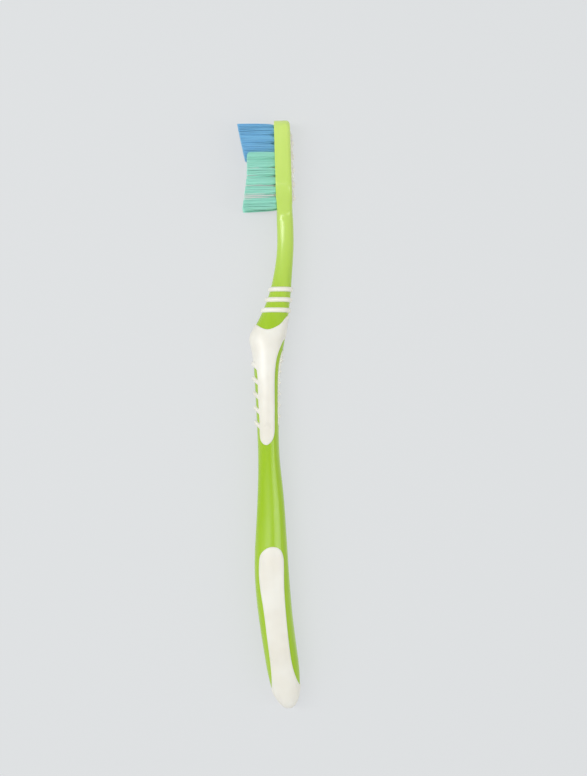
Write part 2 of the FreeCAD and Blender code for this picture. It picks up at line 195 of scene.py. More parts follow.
# Rows of a zone: share along it, front line as a share of the front reach, depth and width as shares
# of the zone's own
NECK_SHARES = (
    (0.00, 0.069, 1.00, 1.07),
    (0.22, 0.090, 0.99, 0.98),
    (0.50, -0.040, 1.09, 1.11),
    (0.72, -0.260, 1.32, 1.33),
    (0.89, -0.540, 1.62, 1.59),
)
REST_SHARES = (
    (0.09, -0.834, 0.93, 0.91),
    (0.39, -1.000, 1.00, 0.97),
    (0.78, -0.915, 0.88, 1.02),
)
THUMB_SHARES = (
    (0.12, -0.848, 1.07, 1.00),
    (0.43, -0.785, 0.96, 0.98),
    (0.76, -0.728, 0.90, 0.91),
)
WAIST_SHARES = (
    (0.10, -0.682, 0.93, 1.03),
    (0.47, -0.698, 1.11, 1.00),
    (0.83, -0.765, 1.30, 1.08),
)
TAIL_SHARES = (
    (0.12, -0.822, 0.99, 0.96),
    (0.41, -0.684, 1.00, 1.00),
    (0.67, -0.425, 0.97, 0.94),
    (0.83, -0.220, 0.89, 0.78),
    (0.925, 0.013, 0.68, 0.58),
    (0.977, 0.255, 0.41, 0.36),
    (1.00, 0.460, 0.14, 0.10),
)

# Outlines of the soft grips seen from the side: share along the grip's length, and share across the
# handle from its front line to its back line
THUMB_TOP_SHARES = (
    (-0.012, -0.30), (0.00, 0.01), (0.025, 0.21), (0.042, 0.44), (0.025, 0.64), (-0.012, 0.81),
    (-0.075, 0.98), (-0.108, 1.30),
)
THUMB_SIDE_SHARES = (
    (0.092, 1.30), (0.117, 0.99), (0.167, 0.924), (0.275, 0.837), (0.342, 0.827), (0.625, 0.828),
    (0.833, 0.82), (0.925, 0.775), (0.979, 0.61), (0.998, 0.41), (0.979, 0.22), (0.925, 0.135),
    (0.833, 0.142), (0.583, 0.13), (0.375, 0.12), (0.308, 0.015), (0.279, -0.30),
)
THUMB_SPAN_SHARES = (-0.13, 1.02)
STRIP_SHARES = (
    (0.150, 1.40), (0.204, 1.01), (0.258, 0.955), (0.392, 0.95), (0.625, 0.955), (0.792, 0.96),
    (0.85, 1.01), (0.90, 1.40),
)
STRIP_SPAN_SHARES = (0.12, 0.95)
TAIL_GRIP_SHARES = (
    (0.92, -0.60), (0.90, -0.08), (0.851, 0.058), (0.802, 0.11), (0.729, 0.148), (0.533, 0.18),
    (0.429, 0.19), (0.337, 0.176), (0.184, 0.134), (0.104, 0.143), (0.049, 0.185), (0.018, 0.307),
    (0.00, 0.556), (0.015, 0.77), (0.049, 0.854), (0.11, 0.87), (0.214, 0.844), (0.441, 0.818),
    (0.637, 0.796), (0.717, 0.808), (0.778, 0.857), (0.827, 0.935), (0.863, 1.05), (0.88, 1.50),
)
TAIL_SKIN_START_SHARE = -0.02

# Tufts: share along the bristle field, and for the edge ones the share of the edge reach
EDGE_SHARES = {
    "blue": ((0.088, 0.76), (0.19, 0.87), (0.29, 0.95)),
    "teal": ((0.38, 0.99), (0.47, 1.00), (0.573, 1.00), (0.676, 0.99), (0.786, 0.94), (0.898, 0.78)),
}
MIDDLE_SHARES = {
    "blue": (0.039, 0.139, 0.24, 0.345),
    "white": (0.432, 0.523, 0.625, 0.73, 0.844),
    "teal": (0.956,),
}

# What follows from the sizes above
HEAD_END = NECK_LENGTH + REST_LENGTH + THUMB_LENGTH + WAIST_LENGTH + TAIL_LENGTH
REST_TOP = HEAD_END - NECK_LENGTH
THUMB_TOP = REST_TOP - REST_LENGTH
WAIST_TOP = THUMB_TOP - THUMB_LENGTH
TAIL_TOP = WAIST_TOP - WAIST_LENGTH
GRIP_LENGTH = REST_LENGTH + THUMB_LENGTH
FIELD_END = HEAD_END + FIELD_TO_NECK
FIELD_START = FIELD_END + FIELD_LENGTH
TIP_CENTRE = FIELD_START + FIELD_TOP - HEAD_TIP_RADIUS
PAD_TOP = FIELD_START - PAD_INSET
PAD_LENGTH = FIELD_LENGTH - 2 * PAD_INSET
PAD_HALF = PAD_WIDTH / 2
PAD_REACH = PAD_LENGTH / 2 - PAD_TIP_RADIUS
# The pad's side arcs are tangent to the circles at its two ends
PAD_SIDE_RADIUS = (PAD_REACH**2 + PAD_HALF**2 - PAD_TIP_RADIUS**2) / (2 * (PAD_HALF - PAD_TIP_RADIUS))
ZONES = (
    (HEAD_END, NECK_LENGTH, NECK_SIZE, NECK_SHARES),
    (REST_TOP, REST_LENGTH, REST_SIZE, REST_SHARES),
    (THUMB_TOP, THUMB_LENGTH, THUMB_SIZE, THUMB_SHARES),
    (WAIST_TOP, WAIST_LENGTH, WAIST_SIZE, WAIST_SHARES),
    (TAIL_TOP, TAIL_LENGTH, TAIL_SIZE, TAIL_SHARES),
)

# Fineness of the meshes: points on half a ring, rows along, and points round small shapes
HALF_RING = 93
GRIP_HALF_RING = 101
STRIP_HALF_RING = 161
CORD_HALF_RING = 49
CURVE_ROWS = 4000
HANDLE_ROWS = 360
TAIL_SKIN_ROWS = 1000
OUTLINE_POINTS = 240
HEAD_ROWS = 72
TIP_COLUMNS = 49
CORD_SIDES = 24
PAD_SIDE_POINTS = 60
PAD_TIP_POINTS = 26
PAD_ROUND_ROWS = 7
PAD_FLAT_ROWS = 4
NUB_ROWS = 17
NUB_SIDES = 28
FILAMENT_SIDES = 6
FILAMENT_CAP = ((0, 1, 2, 3), (0, 3, 4, 5))
# Where along half a ring the plate's face, front round, side, back round and back begin and end
PLATE_RING_SHARES = (0, 0.27, 0.37, 0.63, 0.76, 1)

# The camera, straight above: the picture's size, how many pixels a millimetre takes, the pixels of
# X = 0 and Y = 0, and its height and its sensor in millimetres
PICTURE = (587, 776)
PIXELS_PER_MM = 3.0895
FACE_PIXEL = 274.9
TAIL_END_PIXEL = 708.0
CAMERA_HEIGHT = 400.0
SENSOR = 36.0

# What the materials show, in millimetres: the size of their patches, grain or lines, how high they
# stand, and how far light goes in
LIME_DETAIL = {"drift": 7.0, "rub": 3.0, "ripple": 1.2, "ripple_height": 0.05, "light_reach": 1.2}
GRIP_DETAIL = {"cloud": 9.0, "grain": 0.25, "grain_height": 0.02, "light_reach": 0.8}
BRASS_LINES = 0.8
# How many times finer the drift of the dye and the lines in the brass are along X, Y and Z
DRIFT_FINENESS = (1, 0.15, 1)
LINES_FINENESS = (1, 8, 8)
# The share of light that passes through a filament, and the colour of brass
CLEAR_SHARE = 0.22
BRASS = "c9a45a"

# Light: each lamp's name, place from the middle of the brush and size in metres, and power in watts
LAMPS = (
    ("top_strip", (-0.3, 0.08, 0.75), (0.06, 0.6), 1.5),
    ("left_strip", (-0.38, 0.05, 0.5), (0.07, 0.6), 0.8),
    ("right_strip", (0.4, -0.05, 0.5), (0.08, 0.6), 0.6),
)
# The strength of the light from all round, and the tone of the backdrop
WORLD_LIGHT = 0.55
BACKDROP = "dadddf"
# The floor: its own colour, how far it reaches in metres, and the share of it that looks like the
# backdrop where it is seen
FLOOR_COLOUR = "f4f4f4"
FLOOR_REACH = 6.0
FLOOR_LIFT_SHARE = 0.8


# Curves and places

def smoothstep(value, low, high):
    """3t^2 - 2t^3, with t from 0 at low to 1 at high."""
    t = np.clip((value - low) / (high - low), 0, 1)
    return t * t * (3 - 2 * t)


def natural_spline(knots, values, at):
    """Cubic pieces through values at the knots, with equal slope and curvature where they meet and no
    curvature at the ends: the second derivatives solve one linear system."""
    step = np.diff(knots)[:, None]
    count = len(knots)
    system = np.eye(count)
    inner = np.arange(1, count - 1)
    system[inner, inner - 1] = step[:-1, 0]
    system[inner, inner] = 2 * (step[:-1, 0] + step[1:, 0])
    system[inner, inner + 1] = step[1:, 0]
    right = np.zeros_like(values)
    right[1:-1] = 6 * np.diff(np.diff(values, axis=0) / step, axis=0)
    bend = np.linalg.solve(system, right)
    i = np.clip(np.searchsorted(knots, at) - 1, 0, count - 2)
    a = ((knots[i + 1] - at) / step[i, 0])[:, None]
    b = 1 - a
    curved = (a**3 - a) * bend[i] + (b**3 - b) * bend[i + 1]
    return a * values[i] + b * values[i + 1] + curved * step[i]**2 / 6


def chord_curve(points, samples):
    """A natural spline through points, with the distance along their chords as its parameter."""
    points = np.asarray(points, float)
    chords = np.linalg.norm(np.diff(points, axis=0), axis=1)
    knots = np.concatenate([[0], np.cumsum(chords)])
    return natural_spline(knots, points, np.linspace(0, knots[-1], samples))


def governing_rows():
    """Y, front X, back X and half width of the handle at its governing sections, from the tail up."""
    rows = []
    for top, length, (depth, width), shares in ZONES:
        for along, front, deep, wide in shares:
            front_x = front * FRONT_REACH
            rows.append((top - along * length, front_x, front_x + deep * depth, wide * width / 2))
    return np.array(sorted(rows))


def handle_curve():
    """Many rows of Y, front X, back X and half width, on a smooth curve that closes at the tail end."""
    rows = governing_rows()
    middle = (rows[0, 1] + rows[0, 2]) / 2
    closed = np.vstack([[-TAIL_CROWN, middle, middle, 0], rows])
    closed[:, 0] += TAIL_DRAW * (1 - smoothstep(closed[:, 0], 0, TAIL_DRAW_REACH))
    return chord_curve(closed, CURVE_ROWS)


HANDLE = handle_curve()


def head_half_width(y):
    """Half width of the head's plan outline at Y: a hollow arc, the shoulder arc, a flat and the side
    arc, each tangent to the next."""
    half = HEAD_WIDTH / 2
    end = HEAD_END - HEAD_END_OVERLAP
    gap = HEAD_SIDE_RADIUS - HEAD_TIP_RADIUS
    flat_top = TIP_CENTRE - math.sqrt(gap**2 - (HEAD_SIDE_RADIUS - half)**2)
    flat_low = flat_top - HEAD_FLAT_LENGTH
    drop = half - HEAD_END_WIDTH / 2
    radii = ((flat_low - end)**2 + drop**2) / (2 * drop)
    hollow_radius = radii - HEAD_SHOULDER_RADIUS
    turn = end + (flat_low - end) * hollow_radius / radii
    y = np.asarray(y, float)

    def arc(radius, run):
        return np.sqrt(np.maximum(radius**2 - run**2, 0))

    hollow = HEAD_END_WIDTH / 2 + hollow_radius - arc(hollow_radius, y - end)
    shoulder = half - HEAD_SHOULDER_RADIUS + arc(HEAD_SHOULDER_RADIUS, flat_low - y)
    side = half - HEAD_SIDE_RADIUS + arc(HEAD_SIDE_RADIUS, y - flat_top)
    places = [y < end, y < turn, y < flat_low, y < flat_top]
    return np.select(places, [HEAD_END_WIDTH / 2, hollow, shoulder, half], side)


def tip_reach(angle):
    """Distance from the tip circle's centre to the outline, for an angle from +Y: the circle's radius,
    and past the joint the place where the ray from the centre meets the side arc."""
    rise = HEAD_SIDE_RADIUS - HEAD_WIDTH / 2
    gap = HEAD_SIDE_RADIUS - HEAD_TIP_RADIUS
    run = math.sqrt(gap**2 - rise**2)
    b = run * np.cos(angle) + rise * np.abs(np.sin(angle))
    meet = -b + np.sqrt(b**2 - gap**2 + HEAD_SIDE_RADIUS**2)
    return np.where(np.abs(angle) < math.atan2(rise, run), HEAD_TIP_RADIUS, meet)


def lean(x, y):
    """X and Y of a place drawn on the upright head, once the head leans by its slight tilt."""
    middle = (FIELD_START + FIELD_END) / 2
    c = math.cos(HEAD_TILT)
    s = math.sin(HEAD_TILT)
    return HEAD_FACE_OFFSET + x * c - (y - middle) * s, middle + x * s + (y - middle) * c


def profile(y):
    """Front X, back X and half width at Y on the handle, and past its end on the head."""
    front, back, half = (np.interp(y, HANDLE[:, 0], HANDLE[:, k]) for k in (1, 2, 3))
    on_head = smoothstep(y - HEAD_END, *PROFILE_BLEND)
    face = lean(0, y)[0]
    front = front + on_head * (face - front)
    back = back + on_head * (face + HEAD_THICKNESS - back)
    return front, back, half + on_head * (head_half_width(y) - half)


def plate_half_ring(half, samples):
    """Half a section of the head plate, from the middle of its face to the middle of its back: flat,
    quarter circle, flat, quarter circle, flat. Returns X and the distance from the middle."""
    count = len(PLATE_RING_SHARES)
    path = np.interp(np.linspace(0, 1, samples), PLATE_RING_SHARES, range(count))
    leg = [np.clip(path - k, 0, 1) for k in range(count - 1)]
    turn_front = leg[1] * math.pi / 2
    turn_back = leg[3] * math.pi / 2
    side = HEAD_THICKNESS - HEAD_FRONT_ROUND - HEAD_BACK_ROUND
    x = HEAD_FRONT_ROUND * (1 - np.cos(turn_front)) + side * leg[2] + HEAD_BACK_ROUND * np.sin(turn_back)
    half = np.asarray(half)[:, None]
    out = (half - HEAD_FRONT_ROUND) * leg[0] + HEAD_FRONT_ROUND * np.sin(turn_front)
    out = out - HEAD_BACK_ROUND * (1 - np.cos(turn_back)) - (half - HEAD_BACK_ROUND) * leg[4]
    return np.broadcast_to(x, out.shape), out


def sections(y, samples):
    """Rings of points across the brush at each Y, from the middle of the front to the back and round
    again. On the handle a ring is the superellipse |x|^n + |z|^n = 1, n = FULLNESS, scaled to the
    profile there. On the head it turns smoothly into the plate's section."""
    y = np.asarray(y, float)
    front, back, half = (value[:, None] for value in profile(y))
    angle = np.linspace(math.pi, 0, samples)[None, :]
    across = np.sign(np.cos(angle)) * np.abs(np.cos(angle))**(2 / FULLNESS)
    out = np.abs(np.sin(angle))**(2 / FULLNESS) * half
    out[:, [0, -1]] = 0
    x = (front + back) / 2 + across * (back - front) / 2
    plate_x, plate_out = plate_half_ring(half[:, 0], samples)
    plate_x, plate_y = lean(plate_x, y[:, None])
    share = smoothstep(y - HEAD_END, *SECTION_BLEND)[:, None]
    x = x + share * (plate_x - x)
    out = out + share * (plate_out - out)
    along = y[:, None] + share * (plate_y - y[:, None])
    upper = np.stack([x, along, out], axis=-1)
    lower = upper[:, -2:0:-1] * (1, 1, -1)
    return np.concatenate([upper, lower], axis=1)


def outward(grid):
    """Unit normals of a grid of rings, from the slopes along and round it, away from each ring's
    middle."""
    along = np.gradient(grid, axis=0)
    around = np.roll(grid, -1, axis=1) - np.roll(grid, 1, axis=1)
    normal = np.cross(along, around)
    normal /= np.maximum(np.linalg.norm(normal, axis=-1, keepdims=True), TINY)
    middle = grid.mean(axis=1, keepdims=True)
    facing = np.sum(normal * (grid - middle), axis=-1, keepdims=True)
    return normal * np.where(facing < 0, -1, 1)


def frame_shift():
    """How far the frame lies from brush coordinates: in X and Y by the flat end of the tail grip's
    solid, which has the handle's last row at its middle, and in Z by the middle of the whole box."""
    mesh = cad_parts["tail_grip"].data
    points = np.empty(len(mesh.vertices) * 3)
    mesh.vertices.foreach_get("co", points)
    points = points.reshape(-1, 3) / MM
    low = points[:, 1].min()
    end = points[points[:, 1] < low + WELD / MM, 0]
    last = governing_rows()[0]
    middle_z = (CAD_BOX[0].z + CAD_BOX[1].z) / 2 / MM
    return np.array([(end.min() + end.max() - last[1] - last[2]) / 2, low - last[0], middle_z])


SHIFT = frame_shift()


# Meshes

def grid_faces(rows, columns, closed=True):
    """Corner numbers of the quads of a grid, whose columns may close into rings."""
    last = columns if closed else columns - 1
    i, j = np.meshgrid(np.arange(rows - 1), np.arange(last), indexing="ij")
    left = i * columns + j
    right = i * columns + (j + 1) % columns
    return np.stack([left, right, right + columns, left + columns], -1).reshape(-1, 4)


def grid_part(grid, closed=True):
    """A grid of points as a part: its points in one row, and its quads."""
    return grid.reshape(-1, 3), grid_faces(*grid.shape[:2], closed)


def new_object(name, data):
    """An object in the scene."""
    piece = bpy.data.objects.new(name, data)
    bpy.context.scene.collection.objects.link(piece)
    return piece


def in_frame(name, points, quads, material, replaced):
    """A smooth piece at points in brush millimetres, on the root body in place of solids."""
    mesh = bpy.data.meshes.new(name)
    mesh.from_pydata(((points + SHIFT) * MM).tolist(), [], quads.tolist())
    mesh.polygons.foreach_set("use_smooth", [True] * len(mesh.polygons))
    mesh.materials.append(material)
    piece = new_object(name, mesh)
    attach(piece, "root")
    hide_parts(*replaced)
    return piece


def welded_piece(name, parts, material, replaced):
    """A piece from parts of (points, quads), with doubles merged and then all faces turned outwards."""
    offsets = np.cumsum([0] + [len(points) for points, _ in parts])
    points = np.concatenate([points for points, _ in parts])
    quads = np.concatenate([quads + offset for (_, quads), offset in zip(parts, offsets)])
    piece = in_frame(name, points, quads, material, replaced)
    work = bmesh.new()
    work.from_mesh(piece.data)
    bmesh.ops.remove_doubles(work, verts=work.verts, dist=WELD)
    bmesh.ops.dissolve_degenerate(work, edges=work.edges, dist=WELD)
    bmesh.ops.recalc_face_normals(work, faces=work.faces)
    work.to_mesh(piece.data)
    work.free()
    return piece


# Soft grips

def grip_outline(top, length, shares):
    """A smooth line seen from the side, as X and Y, through places that are given as shares along a
    grip and across the handle."""
    along, across = np.array(shares).T
    y = top - along * length
    front, back, _ = profile(np.clip(y, 0, HEAD_END))
    return chord_curve(np.stack([front + across * (back - front), y], -1), OUTLINE_POINTS)


def distance_inside(points, outline):
    """Distance of points (X, Y) from a closed outline, above 0 inside it, and the unit vector away from
    the nearest place on it. A point is inside where a ray from it crosses the outline an odd number
    of times. Each side of the outline is tried on all the points at once."""
    best = np.full(len(points), np.inf)
    away = np.zeros_like(points)
    inside = np.zeros(len(points), bool)
    for a, b in zip(outline, np.roll(outline, -1, axis=0)):
        side = b - a
        t = np.clip((points - a) @ side / max(side @ side, TINY), 0, 1)
        vector = points - (a + t[:, None] * side)
        size = np.linalg.norm(vector, axis=1)
        near = size < best
        best[near] = size[near]
        away[near] = vector[near]
        if a[1] != b[1]:
            level = (a[1] > points[:, 1]) != (b[1] > points[:, 1])
            inside ^= level & (points[:, 0] < a[0] + (points[:, 1] - a[1]) * side[0] / side[1])
    away /= np.maximum(best, TINY)[:, None]
    return np.where(inside, best, -best), away


def skin_rise(grid, normals, outline, proud):
    """How far a soft skin stands off the handle: proud inside its outline, sunk outside, and between
    them a smooth step. The distance to the outline is taken on the surface, which slants from the side
    view: the distance seen, divided by the length that its direction keeps on the surface."""
    distance, away = distance_inside(grid[..., :2].reshape(-1, 2), outline)
    tipped = np.sum(away * normals[..., :2].reshape(-1, 2), axis=1)
    distance = distance / np.sqrt(np.maximum(1 - tipped**2, SLANT_LIMIT))
    rise = -SKIN_SINK + (proud + SKIN_SINK) * smoothstep(distance, -EDGE_ROLL, EDGE_ROLL)
    return rise.reshape(grid.shape[:2])


def rib_rise(grid, index, height, proud):
    """Rise of one rib over its slanting centre line: sqrt(1 - d^2), as in an ellipse, where d is the
    distance aside as a share of its radius. It is highest at the front and falls to the panel."""
    y = REST_TOP - RIB_FIRST - index * RIB_PITCH
    front = profile(np.array([y]))[0][0]
    way = np.array([math.cos(RIB_FALL), -math.sin(RIB_FALL)])
    offset = grid[..., :2] - (front - height, y)
    run = offset @ way
    aside = offset @ np.array([way[1], -way[0]]) / RIB_RADIUS
    past = np.maximum(run - RIB_RUN, 0) / RIB_RADIUS
    top = height + (proud - height) * smoothstep(run, RIB_FADE_SHARE * RIB_RUN, RIB_RUN)
    return -SKIN_SINK + (top + SKIN_SINK) * np.sqrt(np.maximum(1 - aside**2 - past**2, 0))


def bump_rise(grid, rise, height, proud):
    """Adds the strip's cross bumps to its rise: cos^2 of the distance from each bump's middle."""
    inside = smoothstep(rise, 0, proud)
    for k in range(BUMP_COUNT):
        run = (grid[..., 1] - REST_TOP + BUMP_FIRST + k * BUMP_PITCH) / BUMP_LENGTH
        rise = rise + height * inside * np.cos(np.clip(run, -0.5, 0.5) * math.pi)**2
    return rise


def rows_over(top, length, span):
    """Evenly spaced Y over a span given as shares of a grip's length from its top."""
    high, low = (top - share * length for share in span)
    return np.linspace(low, high, int((high - low) / SKIN_STEP) + 1)


def soft_piece(name, parts, node):
    """A piece of the white elastomer in place of a node's solids."""
    colours = bpy.context.scene.toothbrush_colours
    rubber = the_material("overmoulded_white_elastomer", white_elastomer, colours)
    return welded_piece(name, parts, rubber, [node])


def soft_skin(name, y, samples, rise_of, node):
    """A soft skin over the handle at rows of Y: the handle's surface moved along its normals by a rise,
    kept where it shows, with a wall inwards."""
    grid = sections(y, samples)
    normals = outward(grid)
    rise = rise_of(grid, normals)
    moved = grid + normals * rise[..., None]
    quads = grid_faces(*rise.shape)
    keep = rise.reshape(-1)[quads].max(axis=1) > TINY - SKIN_SINK
    used, quads = np.unique(quads[keep], return_inverse=True)
    parts = [(moved.reshape(-1, 3)[used], quads.reshape(-1, 4))]
    wall = soft_piece(name, parts, node).modifiers.new("wall", "SOLIDIFY")
    wall.thickness = SKIN_WALL * MM
    wall.offset = -1


# Materials

def linear(code):
    """A colour as linear numbers with alpha, from its sRGB hex value."""
    value = np.array([int(code[i:i + 2], 16) for i in (0, 2, 4)]) / 255
    value = np.where(value <= 0.04045, value / 12.92, ((value + 0.055) / 1.055)**2.4)
    return (*value.tolist(), 1.0)


def add_node(tree, kind, inputs=None, **settings):
    """Adds a shader node with its settings, and sets or links its inputs."""
    node = tree.nodes.new("ShaderNode" + kind)
    for name, value in settings.items():
        setattr(node, name, value)
    for name, value in (inputs or {}).items():
        if isinstance(value, bpy.types.NodeSocket):
            tree.links.new(value, node.inputs[name])
        else:
            node.inputs[name].default_value = value
    return node


def new_material(name):
    """An empty node material, its tree, and the object's coordinates in it."""
    material = bpy.data.materials.new(name)
    material.use_nodes = True
    tree = material.node_tree
    tree.nodes.clear()
    return material, tree, add_node(tree, "TexCoord").outputs["Object"]


def noise(tree, vector, size_mm, detail):
    """Cloudy noise from 0 to 1, with features of about this size."""
    inputs = {"Vector": vector, "Scale": 1 / (size_mm * MM), "Detail": detail}
    return add_node(tree, "TexNoise", inputs).outputs["Fac"]


def remap(tree, value, to_min, to_max, from_min=0, from_max=1):
    """A value that runs between two limits, moved to run between two others."""
    return add_node(tree, "MapRange", {
        "Value": value, "From Min": from_min, "From Max": from_max, "To Min": to_min, "To Max": to_max,
    }).outputs["Result"]


def two_tones(tree, share, first, second, positions=(0.0, 1.0)):
    """The colour between two tones, for a share between two positions."""
    ramp = add_node(tree, "ValToRGB", {"Fac": share})
    for stop, colour, position in zip(ramp.color_ramp.elements, (first, second), positions):
        stop.color = (*colour, 1)
        stop.position = position
    return ramp.outputs["Color"]


def surfaced(material, shader):
    """The material, once the shader is its surface."""
    add_node(material.node_tree, "OutputMaterial", {"Surface": shader.outputs[0]})
    return material


def lime_polypropylene(name, colours):
    """Injection-moulded polypropylene, dyed lime: glossy, and light goes a little way into it. The thin
    head and neck are painted paler than the thick handle, a painted light for glare and for light
    passing through the thin plastic, and the dye drifts slightly along the flow of the melt. Handling
    leaves faint rubbed patches, and the mould a slight ripple."""
    material, tree, place = new_material(name)
    flow = add_node(tree, "Mapping", {"Vector": place, "Scale": DRIFT_FINENESS})
    drift = noise(tree, flow.outputs[0], LIME_DETAIL["drift"], 2)
    along = add_node(tree, "SeparateXYZ", {"Vector": place}).outputs["Y"]
    low, high = ((y + SHIFT[1]) * MM for y in (REST_TOP, FIELD_START))
    # Painted light: a share that grows from the rest's top to the head's tip, so the thin head and neck
    # are painted paler than the thick handle
    thin = remap(tree, along, 0.1, 0.9, low, high)
    wander = remap(tree, drift, -0.1, 0.1, 0.3, 0.7)
    share = add_node(tree, "Math", {0: thin, 1: wander}, operation="ADD")
    tone = two_tones(tree, share.outputs[0], colours.handle, colours.handle_painted_pale)
    gloss = remap(tree, noise(tree, place, LIME_DETAIL["rub"], 4), 0.14, 0.24)
    bump = add_node(tree, "Bump", {
        "Height": noise(tree, place, LIME_DETAIL["ripple"], 3), "Strength": 0.06,
        "Distance": LIME_DETAIL["ripple_height"] * MM})
    shader = add_node(tree, "BsdfPrincipled", {
        "Base Color": tone, "Roughness": gloss, "Normal": bump.outputs[0], "IOR": 1.49,
        "Subsurface Weight": 0.25, "Subsurface Radius": (1.0, 1.0, 0.35),
        "Subsurface Scale": LIME_DETAIL["light_reach"] * MM})
    return surfaced(material, shader)


def white_elastomer(name, colours):
    """Overmoulded thermoplastic elastomer, off-white: satin, with light going a little way into it, and
    the even grain of a spark-eroded mould. The real grain is about a tenth of a millimetre, and it is
    drawn at a quarter so that it shows."""
    material, tree, place = new_material(name)
    cloud = noise(tree, place, GRIP_DETAIL["cloud"], 2)
    tone = two_tones(tree, cloud, colours.grip_shade, colours.grip, (0.3, 0.65))
    satin = remap(tree, cloud, 0.24, 0.36)
    bump = add_node(tree, "Bump", {
        "Height": noise(tree, place, GRIP_DETAIL["grain"], 2), "Strength": 0.12,
        "Distance": GRIP_DETAIL["grain_height"] * MM})
    shader = add_node(tree, "BsdfPrincipled", {
        "Base Color": tone, "Roughness": satin, "Normal": bump.outputs[0], "IOR": 1.5,
        "Subsurface Weight": 0.3, "Subsurface Radius": (1.0, 0.95, 0.85),
        "Subsurface Scale": GRIP_DETAIL["light_reach"] * MM})
    return surfaced(material, shader)


def drawn_nylon(name, tint, darkest):
    """Drawn nylon filament, dyed in the melt: smooth and half clear, so that some light passes through
    and the edges glow. Each filament has its own tone, kept in an attribute, and is painted deeper at
    its root and paler at its tip, as painted shade among the tufts and painted light on the tips."""
    material, tree, _ = new_material(name)
    tone = add_node(tree, "Attribute", attribute_name="tone")
    colour = two_tones(tree, tone.outputs["Fac"], [darkest * value for value in tint], tint)
    skin = add_node(tree, "BsdfPrincipled", {
        "Base Color": colour, "Roughness": 0.3, "IOR": 1.53,
        "Sheen Weight": 0.5, "Sheen Roughness": 0.5, "Sheen Tint": (*tint, 1)})
    through = add_node(tree, "BsdfTranslucent", {"Color": colour})
    shader = add_node(tree, "MixShader", {0: CLEAR_SHARE, 1: skin.outputs[0], 2: through.outputs[0]})
    return surfaced(material, shader)


def stamped_brass(name):
    """Stamped brass strip: bright, with fine lines from rolling it."""
    material, tree, place = new_material(name)
    lines = add_node(tree, "Mapping", {"Vector": place, "Scale": LINES_FINENESS})
    gloss = remap(tree, noise(tree, lines.outputs[0], BRASS_LINES, 3), 0.22, 0.4)
    shader = add_node(tree, "BsdfPrincipled", {
        "Base Color": linear(BRASS), "Metallic": 1.0, "Roughness": gloss})
    return surfaced(material, shader)


def seen_directly(tree):
    """1 for a ray from the camera, or by a gloss or through something clear, and 0 for light."""
    path = add_node(tree, "LightPath")
    seen = path.outputs["Is Camera Ray"]
    for ray in ("Is Glossy Ray", "Is Transmission Ray"):
        seen = add_node(tree, "Math", {0: seen, 1: path.outputs[ray]}, operation="MAXIMUM").outputs[0]
    return seen


def matt_pale_paper():
    """Matt pale paper under the brush: it keeps the soft shadow, and is lifted toward the backdrop's
    tone where it is seen."""
    material, tree, _ = new_material("matt_pale_paper")
    lift = add_node(tree, "Math", {0: seen_directly(tree), 1: FLOOR_LIFT_SHARE}, operation="MULTIPLY")
    paper = add_node(tree, "BsdfDiffuse", {"Color": linear(FLOOR_COLOUR)})
    pale = add_node(tree, "Emission", {"Color": linear(BACKDROP), "Strength": 1.0})
    shader = add_node(tree, "MixShader", {0: lift.outputs[0], 1: paper.outputs[0], 2: pale.outputs[0]})
    return surfaced(material, shader)


def studio_world():
    """Even white light from all round, which looks like the backdrop where it is seen."""
    world = bpy.data.worlds.new("studio_world")
    world.use_nodes = True
    tree = world.node_tree
    tree.nodes.clear()
    shade = two_tones(tree, seen_directly(tree), [WORLD_LIGHT] * 3, linear(BACKDROP)[:3])
    light = add_node(tree, "Background", {"Color": shade, "Strength": 1.0})
    add_node(tree, "OutputWorld", {"Surface": light.outputs[0]})
    return world


def the_material(name, maker, *arguments):
    """The material of that name, made once."""
    return bpy.data.materials.get(name) or maker(name, *arguments)


# Settings that a user would change

def colour_setting(name, description, code):
    """A colour property with its default from an sRGB hex value."""
    return bpy.props.FloatVectorProperty(
        name=name, description=description, subtype="COLOR", size=3, min=0, max=1,
        default=linear(code)[:3])


def length_setting(name, description, default_mm):
    """A length property, kept in metres."""
    return bpy.props.FloatProperty(
        name=name, description=description, subtype="DISTANCE", unit="LENGTH", min=0, precision=5,
        default=default_mm * MM)


class ToothbrushSizes(bpy.types.PropertyGroup):
    """Sizes of the soft details and the filaments."""
    skin: length_setting("Grip Height", "How far the soft grips stand off the handle", 0.25)
    rib: length_setting("Rib Height", "How far the thumb grip's ribs stand off the handle", 0.85)
    bump: length_setting("Bump Height", "How far the back strip's bumps stand off it", 0.45)
    ring: length_setting("Ring Radius", "Radius of the rings' round cord", 0.8)
    filament: length_setting("Filament Radius", "Radius of one bristle filament", 0.1)
    filaments: bpy.props.IntProperty(
        name="Filaments", description="Filaments in each tuft", min=1, default=140)


class ToothbrushColours(bpy.types.PropertyGroup):
    """Colours of the plastics."""
    handle: colour_setting("Handle", "Lime of the thick handle", "a2ca0e")
    # Painted light: the paler lime painted on the thin head and neck stands in for glare and for light
    # passing through the thin plastic
    handle_painted_pale: colour_setting("Handle, Thin", "The paler lime of the thin head", "d9f283")
    grip: colour_setting("Grip", "Off-white of the soft grips", "f7f5ea")
    grip_shade: colour_setting("Grip, Shade", "The grips where they are a little thinner", "f0ecdf")
    blue: colour_setting("Blue Bristles", "Tint of the blue filaments", "93daff")
    teal: colour_setting("Teal Bristles", "Tint of the teal filaments", "bcffee")
    white: colour_setting("White Bristles", "Tint of the white filaments", "f9fffb")


# Steps that build the pieces

